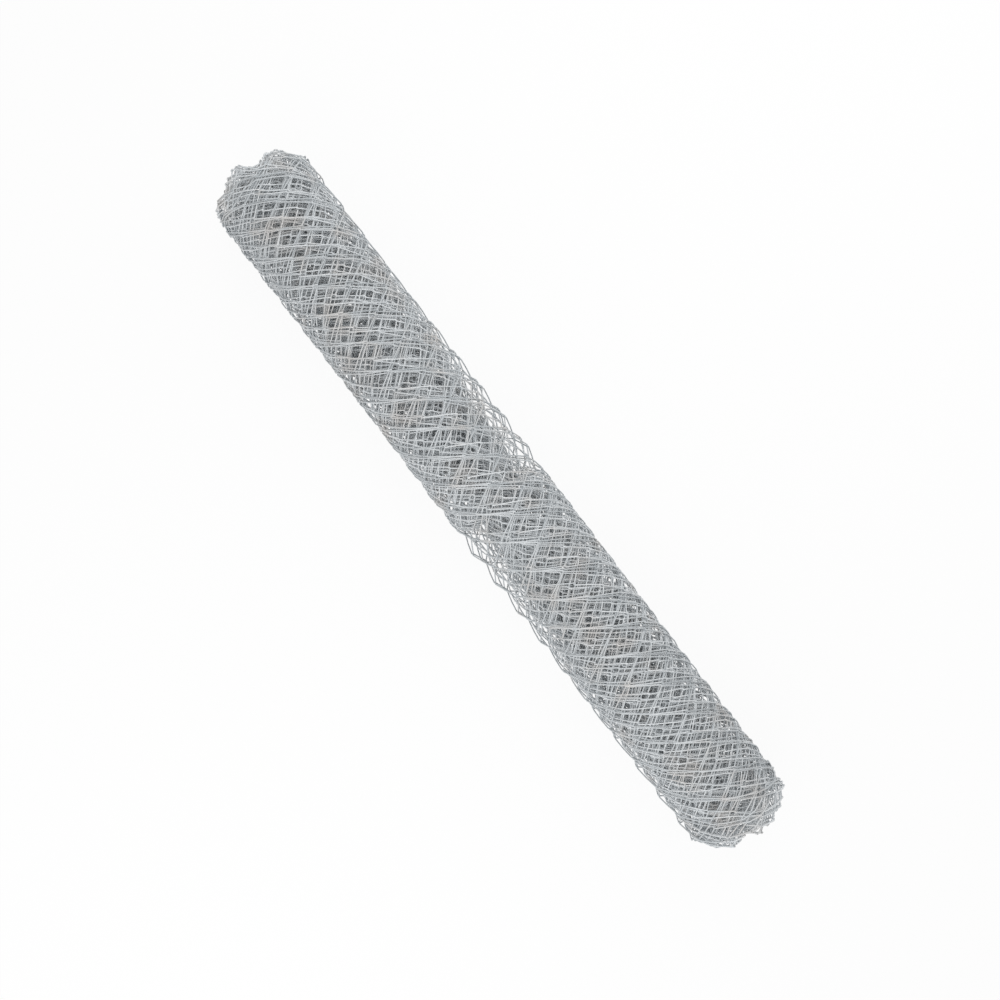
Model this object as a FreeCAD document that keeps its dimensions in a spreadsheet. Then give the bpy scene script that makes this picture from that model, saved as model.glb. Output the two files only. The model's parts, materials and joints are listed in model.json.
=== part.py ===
import FreeCAD, Part
import os
import Sketcher

# A compact roll of galvanised chain link fabric, lying on its side along X, in millimetres.
# The fabric is woven as one piece, so the roll is one solid: a turned body with the open
# middle as its bore, and on each end a ring for every turn of the fabric. The outer turns
# are set back from the core, each a little more than the one below. The origin is on the
# floor, halfway along the roll.

doc = FreeCAD.newDocument("chain_link_roll")

sizes = [
    ("roll_length", 1829),  # the fence's height, over the core turns
    ("bore_diameter", 52),  # the open middle that the first turn leaves
    ("turn_count", 34),
    ("turn_thickness", 2.65),  # what each turn adds to the radius, nested in the one below
    ("core_turns", 16),  # the turns that end level with each other
    ("setback", 1.9),  # how much shorter each outer turn is, at either end
    ("gap_width", 0.9),  # open space between two neighbouring turns
    ("gap_depth", 9),  # how deep that space shows on an end
]
sheet = doc.addObject("Spreadsheet::Sheet", "sizes")
for row, (name, value) in enumerate(sizes, start=1):
    sheet.set(f"A{row}", name)
    sheet.set(f"B{row}", str(value))
    sheet.setAlias(f"B{row}", name)
doc.recompute()

boreRadius = "sizes.bore_diameter / 2"
coreRadius = boreRadius + " + sizes.core_turns * sizes.turn_thickness"
rollRadius = boreRadius + " + sizes.turn_count * sizes.turn_thickness"
halfLength = "sizes.roll_length / 2"
halfShoulder = halfLength + " - (sizes.turn_count - sizes.core_turns) * sizes.setback"
fullTurn = 360


def originFeature(body, role):
    return next(item for item in body.Origin.OriginFeatures if item.Role == role)


def addSketch(body, name):
    """A sketch on the body's XY plane: X runs along the roll, and Y is the radius."""
    sketch = body.newObject("Sketcher::SketchObject", name)
    sketch.AttachmentSupport = [(originFeature(body, "XY_Plane"), "")]
    sketch.MapMode = "FlatFace"
    return sketch


def addOutline(sketch, corners):
    """Closed straight lines through corners, each a place along the roll and a radius.

    A line that is drawn level or upright is kept so.
    """
    points = [FreeCAD.Vector(x, y) for x, y in corners]
    count = len(points)
    first = sketch.GeometryCount
    for k in range(count):
        start, end = points[k], points[(k + 1) % count]
        sketch.addGeometry(Part.LineSegment(start, end), False)
        if start.y == end.y:
            sketch.addConstraint(Sketcher.Constraint("Horizontal", first + k))
        if start.x == end.x:
            sketch.addConstraint(Sketcher.Constraint("Vertical", first + k))
    for k in range(count):
        following = first + (k + 1) % count
        sketch.addConstraint(Sketcher.Constraint("Coincident", first + k, 2, following, 1))
    return first


def hold(sketch, kind, start, end, value):
    """Binds the distance from start to end, each a line's number and its end, to a value."""
    distance = abs(getattr(sketch.getPoint(*end) - sketch.getPoint(*start), kind[-1].lower()))
    number = sketch.addConstraint(Sketcher.Constraint(kind, *start, *end, distance))
    sketch.setExpression(f"Constraints[{number}]", value)


def inSheet(expression):
    """What an expression comes to with the sheet's own numbers."""
    return float(doc.sizes.evalExpression(expression.replace("sizes.", "")))


centre = (-1, 1)

# The turned body: from the bore out to the core turns, and over a cone to the last turn.
roll = doc.addObject("PartDesign::Body", "fence_roll")
roll.Label = "fence_roll"

section = addSketch(roll, "section")
end, shoulder = inSheet(halfLength), inSheet(halfShoulder)
bore, core, outside = inSheet(boreRadius), inSheet(coreRadius), inSheet(rollRadius)
line = addOutline(section, [(-end, bore), (end, bore), (end, core),
                            (shoulder, outside), (-shoulder, outside), (-end, core)])
hold(section, "DistanceX", centre, (line, 2), halfLength)
hold(section, "DistanceX", (line, 1), (line, 2), "sizes.roll_length")
hold(section, "DistanceY", centre, (line, 1), boreRadius)
hold(section, "DistanceY", centre, (line + 1, 2), coreRadius)
hold(section, "DistanceY", centre, (line + 5, 1), coreRadius)
hold(section, "DistanceX", centre, (line + 3, 1), halfShoulder)
hold(section, "DistanceX", (line + 3, 2), (line + 3, 1), "2 * (" + halfShoulder + ")")
hold(section, "DistanceY", centre, (line + 3, 1), rollRadius)

body = roll.newObject("PartDesign::Revolution", "turned_body")
body.Profile = section
body.ReferenceAxis = (section, ["H_Axis"])
body.Angle = fullTurn
doc.recompute()
plainVolume = body.Shape.Volume

# The gaps between the turns, as ring grooves in the end at +X and mirrored to the other end.
# A gap is as deep below its own turn's end as the others.
gaps = addSketch(roll, "turn_gaps")
coreTurns = int(sheet.get("core_turns"))
for k in range(1, int(sheet.get("turn_count"))):
    top = boreRadius + f" + {k} * sizes.turn_thickness"
    below = top + " - sizes.gap_width"
    bottom = halfLength + f" - sizes.gap_depth - {max(k - coreTurns, 0)} * sizes.setback"
    left, right = inSheet(bottom), inSheet(halfLength)
    low, high = inSheet(below), inSheet(top)
    line = addOutline(gaps, [(left, low), (right, low), (right, high), (left, high)])
    hold(gaps, "DistanceX", centre, (line, 1), bottom)
    hold(gaps, "DistanceX", centre, (line, 2), halfLength)
    hold(gaps, "DistanceY", centre, (line, 1), below)
    hold(gaps, "DistanceY", centre, (line + 2, 1), top)

grooves = roll.newObject("PartDesign::Groove", "end_grooves")
grooves.Profile = gaps
grooves.ReferenceAxis = (gaps, ["H_Axis"])
grooves.Angle = fullTurn
doc.recompute()
oneEndVolume = grooves.Shape.Volume

farEnd = roll.newObject("PartDesign::Mirrored", "far_end_grooves")
farEnd.Originals = [grooves]
farEnd.MirrorPlane = (originFeature(roll, "YZ_Plane"), [""])
roll.Tip = farEnd
roll.setExpression("Placement.Base.z", rollRadius)
doc.recompute()

cutOnce = plainVolume - oneEndVolume
cutTwice = plainVolume - farEnd.Shape.Volume
if cutOnce <= 0 or abs(cutTwice - 2 * cutOnce) > cutOnce / 1000:
    raise RuntimeError("the grooves of the two ends don't match")

for item in doc.Objects:
    if "Invalid" in item.State or "Error" in item.State:
        raise RuntimeError(f"{item.Name} failed: {item.State}")

os.makedirs("parts", exist_ok=True)
if roll.Shape.isNull() or not roll.Shape.isValid() or len(roll.Shape.Solids) != 1:
    raise RuntimeError("the roll isn't one valid solid")
roll.Shape.exportStep(f"parts/{roll.Label}.step")
box = roll.Shape.BoundBox
print(f"{roll.Label}: {box.XLength:.1f} x {box.YLength:.1f} x {box.ZLength:.1f} mm, "
      f"lowest point {box.ZMin:.3f}, volume {roll.Shape.Volume / 1e9:.5f} cubic metres")
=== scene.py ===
import json
import math

import bpy
import numpy as np
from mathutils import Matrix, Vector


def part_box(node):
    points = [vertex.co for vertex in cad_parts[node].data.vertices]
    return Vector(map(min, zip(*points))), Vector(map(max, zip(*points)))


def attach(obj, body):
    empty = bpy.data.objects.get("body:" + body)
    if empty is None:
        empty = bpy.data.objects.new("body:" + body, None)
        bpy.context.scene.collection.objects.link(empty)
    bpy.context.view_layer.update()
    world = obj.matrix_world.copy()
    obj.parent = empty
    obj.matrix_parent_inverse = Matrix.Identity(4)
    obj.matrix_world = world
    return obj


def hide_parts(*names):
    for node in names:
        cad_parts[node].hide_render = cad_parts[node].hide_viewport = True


# A compact roll of galvanised chain link fabric. Every wire of the fabric is modelled: over
# 300 zigzag spirals, each hooked into the next, wound up in 34 turns on the CAD roll's bore.
# Metres throughout, X along the roll, Z up.

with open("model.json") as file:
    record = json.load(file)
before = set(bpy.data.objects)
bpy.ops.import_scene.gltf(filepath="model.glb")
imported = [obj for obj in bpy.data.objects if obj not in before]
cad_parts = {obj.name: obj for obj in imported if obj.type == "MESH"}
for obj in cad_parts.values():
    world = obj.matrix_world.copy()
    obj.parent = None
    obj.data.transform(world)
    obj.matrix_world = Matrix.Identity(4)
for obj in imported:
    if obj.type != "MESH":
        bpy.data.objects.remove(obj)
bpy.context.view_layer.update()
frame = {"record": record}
lowCorner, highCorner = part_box("fence_roll")
rollLength = highCorner[0] - lowCorner[0]
rollRadius = (highCorner[2] - lowCorner[2]) / 2
axisHeight = (highCorner[2] + lowCorner[2]) / 2
boreRadius = frame["record"]["mounts"][0]["dims"]["r_mm"] / 1000
fullTurn = 2 * math.pi


studio = {
    "cameraRise": 3.0,  # from the roll's axis up to the camera
    "lens": 49.1,
    "lean": 52.5,  # degrees that the roll's axis points below level, to the lower right
    "floorSize": 14.0,
    "floorColour": "FAFAFA",
    "floorRoughness": 0.9,
    "whiteSeen": 0.92,  # how far the floor is lifted to plain white where it is looked at
    "softboxSize": 2.2,
    "softboxPower": 16.5,
    "softboxPlace": (0.8, 1.3, 1.5),  # along the roll, beside it, and above the floor
    "softboxAim": 0.45,  # how far from the middle of the roll it points
    "skyStrength": 0.55,
    "skySeen": 0.98,
}


def linear(hexColour):
    parts = [int(hexColour[k:k + 2], 16) / 255 for k in (0, 2, 4)]
    return [c / 12.92 if c <= 0.04045 else ((c + 0.055) / 1.055) ** 2.4 for c in parts] + [1.0]


# adds one node with its settings, and links each given input from another node's output
def addNode(tree, kind, links=None, settings=None, **values):
    node = tree.nodes.new(kind)
    for name, value in (settings or {}).items():
        setattr(node, name, value)
    for name, value in values.items():
        node.inputs[name.replace("_", " ")].default_value = value
    for name, source in (links or {}).items():
        tree.links.new(source, node.inputs[name])
    return node


def makeCamera():
    data = bpy.data.cameras.new("camera")
    data.lens = studio["lens"]
    data.clip_end = 50
    camera = bpy.data.objects.new("camera", data)
    camera.location = (0, 0, axisHeight + studio["cameraRise"])
    camera.rotation_euler = (0, 0, math.radians(studio["lean"]))
    bpy.context.collection.objects.link(camera)
    bpy.context.scene.camera = camera


# a matt white sweep: plain white is mixed in for the eye and for reflections, over the shadow
def makePaper():
    material = bpy.data.materials.new("white_paper_sweep")
    material.use_nodes = True
    tree = material.node_tree
    surface = tree.nodes["Principled BSDF"]
    surface.inputs["Base Color"].default_value = linear(studio["floorColour"])
    surface.inputs["Roughness"].default_value = studio["floorRoughness"]
    surface.inputs["Specular IOR Level"].default_value = 0.0
    rays = addNode(tree, "ShaderNodeLightPath").outputs
    seen = addNode(tree, "ShaderNodeMath", {0: rays["Is Camera Ray"], 1: rays["Is Glossy Ray"]},
                   {"operation": "MAXIMUM"})
    share = addNode(tree, "ShaderNodeMath", {0: seen.outputs[0]}, {"operation": "MULTIPLY"})
    share.inputs[1].default_value = studio["whiteSeen"]
    white = addNode(tree, "ShaderNodeEmission", Color=(1, 1, 1, 1), Strength=1.0)
    mixed = addNode(tree, "ShaderNodeMixShader",
                    {0: share.outputs[0], 1: surface.outputs[0], 2: white.outputs[0]})
    tree.links.new(mixed.outputs[0], tree.nodes["Material Output"].inputs["Surface"])
    return material


def makeFloor():
    half = studio["floorSize"] / 2
    mesh = bpy.data.meshes.new("floor")
    corners = [(-half, -half, 0), (half, -half, 0), (half, half, 0), (-half, half, 0)]
    mesh.from_pydata(corners, [], [(0, 1, 2, 3)])
    mesh.materials.append(makePaper())
    floor = bpy.data.objects.new("floor", mesh)
    bpy.context.collection.objects.link(floor)


# a square softbox beside one half of the roll; side is -1 for the left half and 1 for the right
def makeSoftbox(name, side):
    data = bpy.data.lights.new(name, "AREA")
    data.shape = "SQUARE"
    data.size = studio["softboxSize"]
    data.energy = studio["softboxPower"]
    lamp = bpy.data.objects.new(name, data)
    along, beside, above = studio["softboxPlace"]
    lamp.location = (side * along, -side * beside, above)
    awayX, awayY, awayZ = side * (studio["softboxAim"] - along), side * beside, axisHeight - above
    tilt = math.atan2(math.hypot(awayX, awayY), -awayZ)
    lamp.rotation_euler = (tilt, 0, math.atan2(awayY, awayX) - math.pi / 2)
    bpy.context.collection.objects.link(lamp)


def makeSky():
    world = bpy.data.worlds.new("soft_sky")
    bpy.context.scene.world = world
    world.use_nodes = True
    tree = world.node_tree
    background = tree.nodes["Background"]
    background.inputs["Color"].default_value = (1, 1, 1, 1)
    rays = addNode(tree, "ShaderNodeLightPath")
    strength = addNode(tree, "ShaderNodeMapRange", {"Value": rays.outputs["Is Camera Ray"]},
                       To_Min=studio["skyStrength"], To_Max=studio["skySeen"])
    tree.links.new(strength.outputs["Result"], background.inputs["Strength"])


makeCamera()
makeFloor()
makeSky()
# at opposite corners, so that each half of the roll is lit from its own side
makeSoftbox("softbox_left", -1)
makeSoftbox("softbox_right", 1)
bpy.context.scene.view_settings.view_transform = "Standard"
print("studio ready")


fabric = {
    "wire": 0.0029,  # 11 1/2 gauge
    "spiralsPerTurn": 12.09,  # nearly whole, so the last turns' wires lie beside each other
    "nestedTurns": 2.0,  # as far as that holds; further in, the spirals keep their spacing
    "innerSpacing": 0.86,  # of the inner spirals, as a part of the outer ones'
    "legs": 46,  # straight legs of one spiral, selvage to selvage
    "depth": 0.0032,  # from the front legs of a spiral to its back legs, between centres
    "hook": 0.00145,  # how far a spiral's bend reaches past the next one's
    "bend": 0.05,  # the part of a leg that is bent at either end
    "blunt": 0.001,  # how much a bend is rounded off
    "slant": -1.05,  # how many spirals the fabric twists round, for each metre of height
    "flatness": 0.95,  # 1 if each spiral stays flat between its hooks, 0 if it bends round
    "flatTight": 0.3,  # how much of that is left on the roll's tight side
    "mostFlat": 0.0042,  # what flatness may take from the radius at most
    "shift": (0.02, 0.36),  # how far the spirals wander round: last turn, and inner turns
    "shiftTurns": (1.1, 2.4),  # the turns between them
    "held": 0.8,  # how much less the outer turns wander at their ends
    "heldFrom": 0.8,  # where that begins, from 0 in the middle to 1 at the ends
    "heldTurns": (5.0, 9.0),  # the turns over which it fades
    "sway": 0.0012,  # how far a spiral sways to either side at most
    "swayRate": 0.9,  # radians of that for each leg
    "slip": 0.0008,  # how unevenly the spirals lie along the roll
    "seed": 11,
}

winding = {
    "turns": 34,
    "tableSteps": 20000,  # the places at which the winding is worked out
    "tailAngle": 149.0,  # where the fabric ends, in degrees from the top
    "tightBy": 2.2,  # how many turns' depth the outer ones are pushed into
    "tightOver": 8.0,  # the turn at which that is the most
    "skew": 0.112,  # how far the last turn runs along the roll, for each metre wound
    "skewTurns": (0.7, 1.05),  # where that ends, counted from the tail
    "looseTurns": 1.3,  # the turns at the outside that don't lie tight
    "looseFade": 0.2,
    "looseLift": 0.0036,
    "looseSide": (0.15, 0.9),  # where they begin to lift, and lift fully; 1 is the loose side
    "pressed": 0.48,  # how far the outer turns are pressed together on the tight side
    "pressedSide": (0.2, 0.9),  # the same for this, where 1 is the tight side
    "pressedTurns": (6.0, 14.0),  # the turns over which that fades
    "uneven": 0.0009,  # how far the wires lie off the round
    "settled": 0.0015,  # how far the spirals have slid along the roll, and whole turns
    "turnSettled": 0.001,
    "wide": 1.03,  # the roll settles under its weight and is this much wider than high
    "offFloor": 0.0003,
    "dentFrom": 0.40,  # the core is dented from here to the middle, on one side of each half
    "dentDepth": 0.42,
    "dentSide": (-0.2, 0.6),  # where it begins and is full; 1 is the loose side
    "dentTurns": (0.5, 7.0),  # the dent deepens over these turns, which hang loose across it
    "swap": 0.022,  # half the length over which the dent changes sides
}

# how far the ends of the turns stand back from the ends of the CAD roll
ends = {
    "steepness": 18,  # the higher, the nearer to the ends the fabric is drawn back
    "lastMean": 0.0820,  # of the last turn, and how much that changes round the roll
    "lastSwing": 0.050,
    "lastLongest": 57.0,  # degrees from the top to its longest place, towards the loose side
    "lastTurns": (0.3, 2.5),  # the turns over which this gives way to what follows
    "coreTurns": 16,  # these aren't set back by the turns' winding
    "tip": -0.017,  # where the turns below reach furthest, across towards the loose side
    "tipSetback": 0.005,
    "slope": 0.38,  # of their ends from the tip towards the tight side
    # towards the loose side: how much further back, and between which places from the tip
    "steps": (
        (0.026, 0.000, 0.033),  # beside the tip, where the last turn lies over them
        (-0.011, 0.033, 0.060),  # forward again, to a second lobe
        (0.052, 0.080, 0.140),
    ),
}

turnPitch = (rollRadius - boreRadius) / winding["turns"]

# the fabric's middle line is an Archimedean spiral, counted in turns from its tail inwards
startRadius = boreRadius + fabric["wire"]
endRadius = rollRadius - fabric["depth"] / 2 - fabric["wire"] / 2
turnTable = np.linspace(0, winding["turns"], winding["tableSteps"] + 1)
# the last turns are drawn closer together than the others
lag = turnTable / winding["tightOver"] * np.exp(1 - turnTable / winding["tightOver"])
depthTable = turnTable - winding["tightBy"] * lag
radiusTable = endRadius + (startRadius - endRadius) * depthTable / winding["turns"]
# how many spirals there are to a turn, and how many have been used up at each place
nested = turnTable < fabric["nestedTurns"]
crowding = np.where(nested, 1, radiusTable / endRadius / fabric["innerSpacing"])
crowdTable = fabric["spiralsPerTurn"] * crowding
crowdSteps = (crowdTable[1:] + crowdTable[:-1]) / 2 * np.diff(turnTable)
spiralTable = np.concatenate([[0], np.cumsum(crowdSteps)])
spiralCount = int(spiralTable[-1] - 0.5)


def smoothStep(low, high, value):
    t = np.clip((value - low) / (high - low), 0, 1)
    return t * t * (3 - 2 * t)


# a smooth wander, the same on every run: several waves added up, and the shortest of them
# spans so many spirals round the roll and metres along it
def makeWander(rng, waves, spirals, metres):
    across = rng.uniform(0.4, 1.0, waves) * fullTurn / spirals * rng.choice([-1, 1], waves)
    up = rng.uniform(0.3, 1.0, waves) * fullTurn / metres
    start = rng.uniform(0, fullTurn, waves)

    def wander(spiral, height):
        total = sum(np.sin(a * spiral + u * height + p) for a, u, p in zip(across, up, start))
        return total / math.sqrt(waves)
    return wander


rng = np.random.default_rng(fabric["seed"])
radiusWander = makeWander(rng, waves=7, spirals=5.0, metres=0.5)
spiralWander = makeWander(rng, waves=7, spirals=8.0, metres=0.6)
heightWander = makeWander(rng, waves=5, spirals=12.0, metres=1.2)
turnWander = makeWander(rng, waves=5, spirals=9.0, metres=8.0)


# how many spirals' width a place has wandered round; toEnd is 0 in the middle, 1 at the ends
def wanderedShift(spiral, height, turnsLeft, toEnd):
    lastShift, innerShift = fabric["shift"]
    shift = lastShift + (innerShift - lastShift) * smoothStep(*fabric["shiftTurns"], turnsLeft)
    held = fabric["held"] * smoothStep(fabric["heldFrom"], 1.0, toEnd)
    held = held * (1 - smoothStep(*fabric["heldTurns"], turnsLeft))
    return shift * (1 - held) * spiralWander(spiral, height)


# the sheet's radius; toLoose is -1 at the tight side of the roll and 1 at the loose side
def sheetRadius(turnsLeft, toLoose):
    radius = np.interp(turnsLeft, turnTable, radiusTable)
    outerPart = 1 - smoothStep(*winding["pressedTurns"], turnsLeft)
    pressed = winding["pressed"] * smoothStep(*winding["pressedSide"], -toLoose) * outerPart
    fadeFrom = winding["looseTurns"] - winding["looseFade"]
    fadeTo = winding["looseTurns"] + winding["looseFade"]
    lift = winding["looseLift"] * (1 - smoothStep(fadeFrom, fadeTo, turnsLeft))
    lift = lift * smoothStep(*winding["looseSide"], toLoose)
    return radius + pressed * (endRadius - radius) + lift


# how far a place on the fabric stands back at the end of the roll; across counts towards the
# loose side, and so does angle, which starts from the top
def endSetback(turnsLeft, across, angle):
    pastTip = across - ends["tip"]
    stepped = np.clip(1 - turnsLeft / (winding["turns"] - ends["coreTurns"]), 0, 1)
    under = ends["tipSetback"] * (1 + stepped) + ends["slope"] * np.maximum(-pastTip, 0)
    for further, start, stop in ends["steps"]:
        under = under + further * smoothStep(start, stop, pastTip)
    last = ends["lastMean"] - ends["lastSwing"] * np.cos(angle - math.radians(ends["lastLongest"]))
    return under + (last - under) * (1 - smoothStep(*ends["lastTurns"], turnsLeft))


# from the fabric to the roll: spiral is counted from the tail, height from the fence's middle,
# outward is the offset out of the sheet, and sag is how far a flat spiral lies inside the round
def windUp(spiral, height, outward, sag):
    toEnd = np.abs(height) / (rollLength / 2)
    evenTurns = np.interp(spiral, spiralTable, turnTable)
    spiral = spiral + fabric["slant"] * height + wanderedShift(spiral, height, evenTurns, toEnd)
    pastTail = np.minimum(spiral, 0) / fabric["spiralsPerTurn"]
    turnsLeft = np.interp(spiral, spiralTable, turnTable) + pastTail
    theta = math.radians(winding["tailAngle"]) - turnsLeft * fullTurn
    # the side where the last turns stand loose is +Y in the left half and -Y in the right
    side = -np.tanh(height / winding["swap"])
    toLoose = np.sin(theta) * side
    radius = sheetRadius(turnsLeft, toLoose) + outward
    radius = radius + winding["uneven"] * radiusWander(spiral, height)
    tightFlat = fabric["flatTight"]
    radius = radius - sag * (tightFlat + (1 - tightFlat) * smoothStep(-0.5, 0.5, toLoose))
    dent = winding["dentDepth"] * np.clip(1 - np.abs(height) / winding["dentFrom"], 0, 1)
    dent = dent * smoothStep(*winding["dentSide"], toLoose)
    dent = dent * smoothStep(*winding["dentTurns"], turnsLeft)
    across = radius * np.sin(theta) * winding["wide"] * (1 - dent)
    # no wire sinks into the floor
    up = np.maximum(axisHeight + radius * np.cos(theta), fabric["wire"] / 2 + winding["offFloor"])
    setback = endSetback(turnsLeft, radius * toLoose, theta * np.sign(side))
    setback = setback * toEnd ** ends["steepness"]
    askew = winding["skew"] * rollRadius * theta * (1 - smoothStep(*winding["skewTurns"], turnsLeft))
    settled = winding["settled"] * heightWander(spiral, height)
    settled = settled + winding["turnSettled"] * turnWander(spiral, height)
    along = height - np.sign(height) * setback + askew + settled
    return np.stack([along, across, up], axis=-1)


print(f"{spiralCount} spirals, {turnPitch * 1000:.2f} mm a turn")


# where along a leg the wire gets its points: fine ones round a hook, then along the leg
detail = {
    "outer": {"stations": [0.0, 0.025, 0.055, 0.12, 0.5, 0.88, 0.945, 0.975], "sides": 8},
    "under": {"stations": [0.0, 0.045, 0.11, 0.5, 0.89, 0.955], "sides": 6},
    "middle": {"stations": [0.0, 0.05, 0.34, 0.66, 0.95], "sides": 6},
    "inner": {"stations": [0.0, 0.06, 0.5, 0.94], "sides": 4},
}

# the ends of a wire, bent over at the selvage round the neighbour's end
knuckle = {
    "radius": 0.0029,
    "sweep": (35.0, 250.0),  # degrees at which the bend starts and stops
    "narrow": 0.8,  # its width round the roll, as a part of that along it
    "tuck": 0.0012,  # how far its tip lies under the sheet
    "steps": {"outer": 9, "under": 7, "middle": 5, "inner": 4},
}


# sideways reach of a zigzag at station p, from -1 to 1, sharp at whole numbers
def zigzag(p, startSide):
    phase = np.mod(p, 2.0)
    return startSide * (1 - 2 * np.where(phase > 1, 2 - phase, phase))


# pole is -1 at the left selvage and 1 at the right one
def knucklePath(towards, pole, height, spacing, level):
    turn = np.radians(np.linspace(*knuckle["sweep"], knuckle["steps"][level]))
    curl = knuckle["radius"]
    return np.stack([
        towards * (spacing / 2 - curl * np.cos(turn) * knuckle["narrow"]),
        height + pole * curl * (np.sin(turn) - 1),
        towards * (fabric["depth"] / 2 - knuckle["tuck"] * turn / turn[-1]),
    ])


# one wire; stray holds how far it sways, where that starts, and how far it has slipped
def spiralPath(number, level, stray):
    legs = fabric["legs"]
    stations = np.array(detail[level]["stations"])
    p = np.concatenate([stations + leg for leg in range(legs)] + [[float(legs)]])
    startSide = 1 if number % 2 == 0 else -1
    middle = number + 0.5
    turnsLeft = np.interp(middle, spiralTable, turnTable)
    radius = np.interp(turnsLeft, turnTable, radiusTable)
    spacing = fullTurn * radius / np.interp(turnsLeft, turnTable, crowdTable)
    side = zigzag(p, startSide)
    straight = smoothStep(0.0, fabric["bend"], np.abs(p - np.round(p)))
    sideways = (spacing / 2 + fabric["hook"] + fabric["blunt"]) * side
    sideways = sideways - np.sign(side) * fabric["blunt"] * (1 - straight)
    sideways = sideways + stray[0] * np.sin(p * fabric["swayRate"] + stray[1])
    # odd and even legs lie on either face of the sheet
    forward = np.where(np.mod(np.floor(p + 1e-9), 2) == 0, -startSide, startSide)
    outward = -forward * fabric["depth"] / 2 * straight
    height = (p / legs - 0.5) * rollLength + stray[2]
    # the flat spiral between its hooks lies inside the round of the turn
    sag = fabric["flatness"] * radius * (1 - math.cos(spacing / 2 / radius))
    sag = min(sag, fabric["mostFlat"]) * (1 - side ** 2)
    first = knucklePath(np.sign(side[0]), -1, height[0], spacing, level)
    last = knucklePath(np.sign(side[-1]), 1, height[-1], spacing, level)
    body = np.stack([sideways, height, outward])[:, 1:-1]
    sideways, height, outward = np.concatenate([first[:, ::-1], body, last], axis=1)
    sag = np.pad(sag[1:-1], knuckle["steps"][level])
    return windUp(middle + sideways / spacing, height, outward, sag)


# a tube of the wire's own thickness along each path, with closed ends, all in one mesh
def tubeMesh(name, paths, sides, radius, tonesWithPaintedLight):
    corners, faces, cornerTonesWithLight = [], [], []
    base = 0
    ring = np.linspace(0, fullTurn, sides, endpoint=False)
    # each end is closed by quads that share the ring's first corner
    cap = np.array([[0, j, j + 1, j + 2] for j in range(1, sides - 1, 2)])
    for path, shade in zip(paths, tonesWithPaintedLight):
        count = len(path)
        tangent = np.gradient(path, axis=0)
        tangent /= np.linalg.norm(tangent, axis=1, keepdims=True)
        out = path - np.array([0, 0, axisHeight])
        out[:, 0] = 0
        out -= (out * tangent).sum(1, keepdims=True) * tangent
        out /= np.linalg.norm(out, axis=1, keepdims=True)
        beside = np.cross(tangent, out)
        circle = out[:, None, :] * np.cos(ring)[:, None] + beside[:, None, :] * np.sin(ring)[:, None]
        corners.append((path[:, None, :] + radius * circle).reshape(-1, 3))
        row = np.arange(count - 1)[:, None] * sides
        k = np.arange(sides)[None, :]
        nextK = (k + 1) % sides
        quads = np.stack([row + k, row + nextK, row + sides + nextK, row + sides + k], axis=-1)
        faces += [quads.reshape(-1, 4) + base, cap[:, ::-1] + base, cap + base + (count - 1) * sides]
        cornerTonesWithLight.append(np.full(count * sides, shade))
        base += count * sides
    corners = np.concatenate(corners)
    quads = np.concatenate(faces)
    mesh = bpy.data.meshes.new(name)
    mesh.vertices.add(len(corners))
    mesh.vertices.foreach_set("co", corners.astype(np.float32).ravel())
    mesh.loops.add(quads.size)
    mesh.loops.foreach_set("vertex_index", quads[:, ::-1].astype(np.int32).ravel())
    mesh.polygons.add(len(quads))
    mesh.polygons.foreach_set("loop_start", np.arange(0, quads.size, 4, dtype=np.int32))
    mesh.polygons.foreach_set("use_smooth", np.ones(len(quads), dtype=bool))
    # each wire's tone goes on its corners, with painted light from its depth in the roll included
    toneAndLightLayer = mesh.attributes.new("wireToneAndPaintedLight", "FLOAT", "POINT")
    toneAndLightLayer.data.foreach_set("value", np.concatenate(cornerTonesWithLight).astype(np.float32))
    mesh.update(calc_edges=True)
    mesh.validate()
    piece = bpy.data.objects.new(name, mesh)
    bpy.context.collection.objects.link(piece)
    return piece


# drawn through a zinc bath and wiped: dull pale grey, a faint spangle, cool with warm patches
galvanised = {
    "light": "EDF0F2",
    "dark": "C3C8CB",
    "warm": "DDD6D0",
    "warmFrom": (0.52, 0.72),  # how much of the wire is tinted
    "warmest": 0.5,
    "metallic": 0.30,
    "roughness": (0.42, 0.64),
    "patch": 0.06,  # size of the tint patches along the roll
    "grain": 0.004,  # zinc grains are finer than this, drawn as coarse as can show on a wire
    "grainHeight": 0.0003,
    "grainStrength": 0.25,
    # painted light: the outside of the roll is coloured darker where it is lit most, the covered
    # turns lighter where shade falls between them
    "shade": (0.28, 0.88),  # from dark to light: the outside of the roll, and covered turns
    "paintedLightTurns": (0.9, 4.0),  # the turns between them
    "shadeSpread": 0.15,  # how much the wires differ
}


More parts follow.
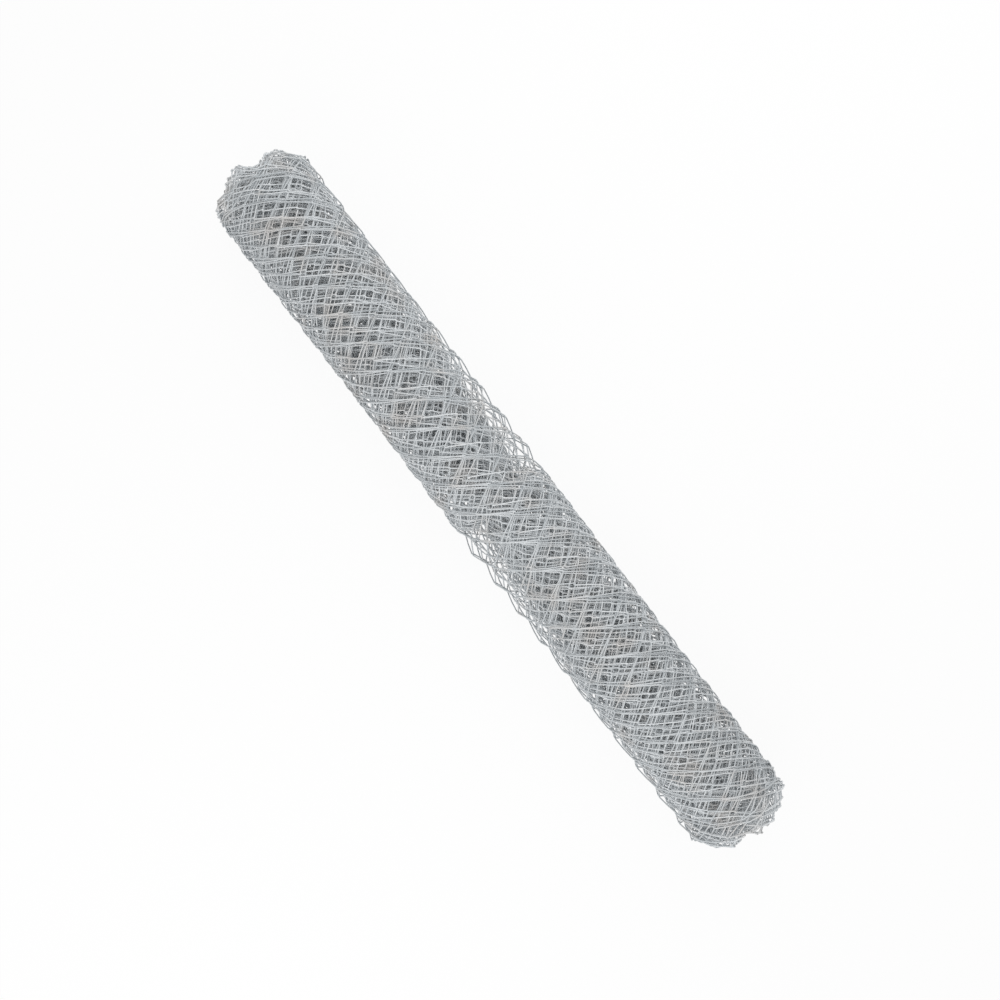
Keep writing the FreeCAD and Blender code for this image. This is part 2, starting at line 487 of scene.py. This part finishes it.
def makeGalvanised():
    material = bpy.data.materials.new("galvanised_steel_wire")
    material.use_nodes = True
    tree = material.node_tree
    surface = tree.nodes["Principled BSDF"]
    place = addNode(tree, "ShaderNodeTexCoord").outputs["Object"]
    shade = addNode(tree, "ShaderNodeAttribute", settings={"attribute_name": "wireToneAndPaintedLight"})
    patches = addNode(tree, "ShaderNodeTexNoise", {"Vector": place}, Scale=1 / galvanised["patch"])
    grains = addNode(tree, "ShaderNodeTexNoise", {"Vector": place}, Scale=1 / galvanised["grain"])
    colours = {"data_type": "RGBA"}
    # the zinc colour follows each wire's tone, which holds painted light: lighter on the covered
    # turns, darker on the lit outside
    zinc = addNode(tree, "ShaderNodeMix", {"Factor": shade.outputs["Fac"]}, colours,
                   A=linear(galvanised["dark"]), B=linear(galvanised["light"]))
    low, high = galvanised["warmFrom"]
    warmth = addNode(tree, "ShaderNodeMapRange", {"Value": patches.outputs["Fac"]},
                     From_Min=low, From_Max=high, To_Max=galvanised["warmest"])
    tinted = addNode(tree, "ShaderNodeMix",
                     {"Factor": warmth.outputs["Result"], "A": zinc.outputs["Result"]}, colours,
                     B=linear(galvanised["warm"]))
    tree.links.new(tinted.outputs["Result"], surface.inputs["Base Color"])
    low, high = galvanised["roughness"]
    dullness = addNode(tree, "ShaderNodeMapRange", {"Value": grains.outputs["Fac"]},
                       To_Min=low, To_Max=high)
    tree.links.new(dullness.outputs["Result"], surface.inputs["Roughness"])
    bump = addNode(tree, "ShaderNodeBump", {"Height": grains.outputs["Fac"]},
                   Strength=galvanised["grainStrength"], Distance=galvanised["grainHeight"])
    tree.links.new(bump.outputs["Normal"], surface.inputs["Normal"])
    surface.inputs["Metallic"].default_value = galvanised["metallic"]
    return material


# the turns from the outside in
layers = [
    {"name": "outer_turns", "turns": 2.0, "level": "outer"},
    {"name": "under_turns", "turns": 4.0, "level": "under"},
    {"name": "body_turns", "turns": 5.0, "level": "middle"},
    {"name": "inner_turns", "turns": 8.0, "level": "inner"},
    {"name": "core_turns", "turns": 16.0, "level": "inner"},
]


def makeFabric():
    zincWire = makeGalvanised()
    turnsLeft = np.interp(np.arange(spiralCount) + 0.5, spiralTable, turnTable)
    strays = np.stack([rng.uniform(0.0, fabric["sway"], spiralCount),
                       rng.uniform(0, fullTurn, spiralCount),
                       rng.normal(0, fabric["slip"], spiralCount)], axis=1)
    # painted light: the outside of the roll is given a darker zinc colour, to tone down where it is
    # lit most, and the covered turns a lighter one, to lift the shade that falls between the turns
    outside, covered = galvanised["shade"]
    tonesWithPaintedLight = outside + (covered - outside) * smoothStep(*galvanised["paintedLightTurns"], turnsLeft)
    tonesWithPaintedLight = np.clip(tonesWithPaintedLight + rng.normal(0, galvanised["shadeSpread"], spiralCount), 0, 1)
    outer = 0.0
    triangles = 0
    for layer in layers:
        inner = outer + layer["turns"]
        numbers = np.nonzero((turnsLeft >= outer) & (turnsLeft < inner))[0]
        outer = inner
        paths = [spiralPath(int(n), layer["level"], strays[n]) for n in numbers]
        sides = detail[layer["level"]]["sides"]
        piece = tubeMesh(layer["name"], paths, sides, fabric["wire"] / 2, tonesWithPaintedLight[numbers])
        piece.data.materials.append(zincWire)
        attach(piece, "root")
        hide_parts("fence_roll")
        faces = 2 * len(piece.data.polygons)
        triangles += faces
        print(f"{layer['name']}: {len(numbers)} spirals, {faces} triangles")
    print(f"{triangles} triangles in all")


makeFabric()

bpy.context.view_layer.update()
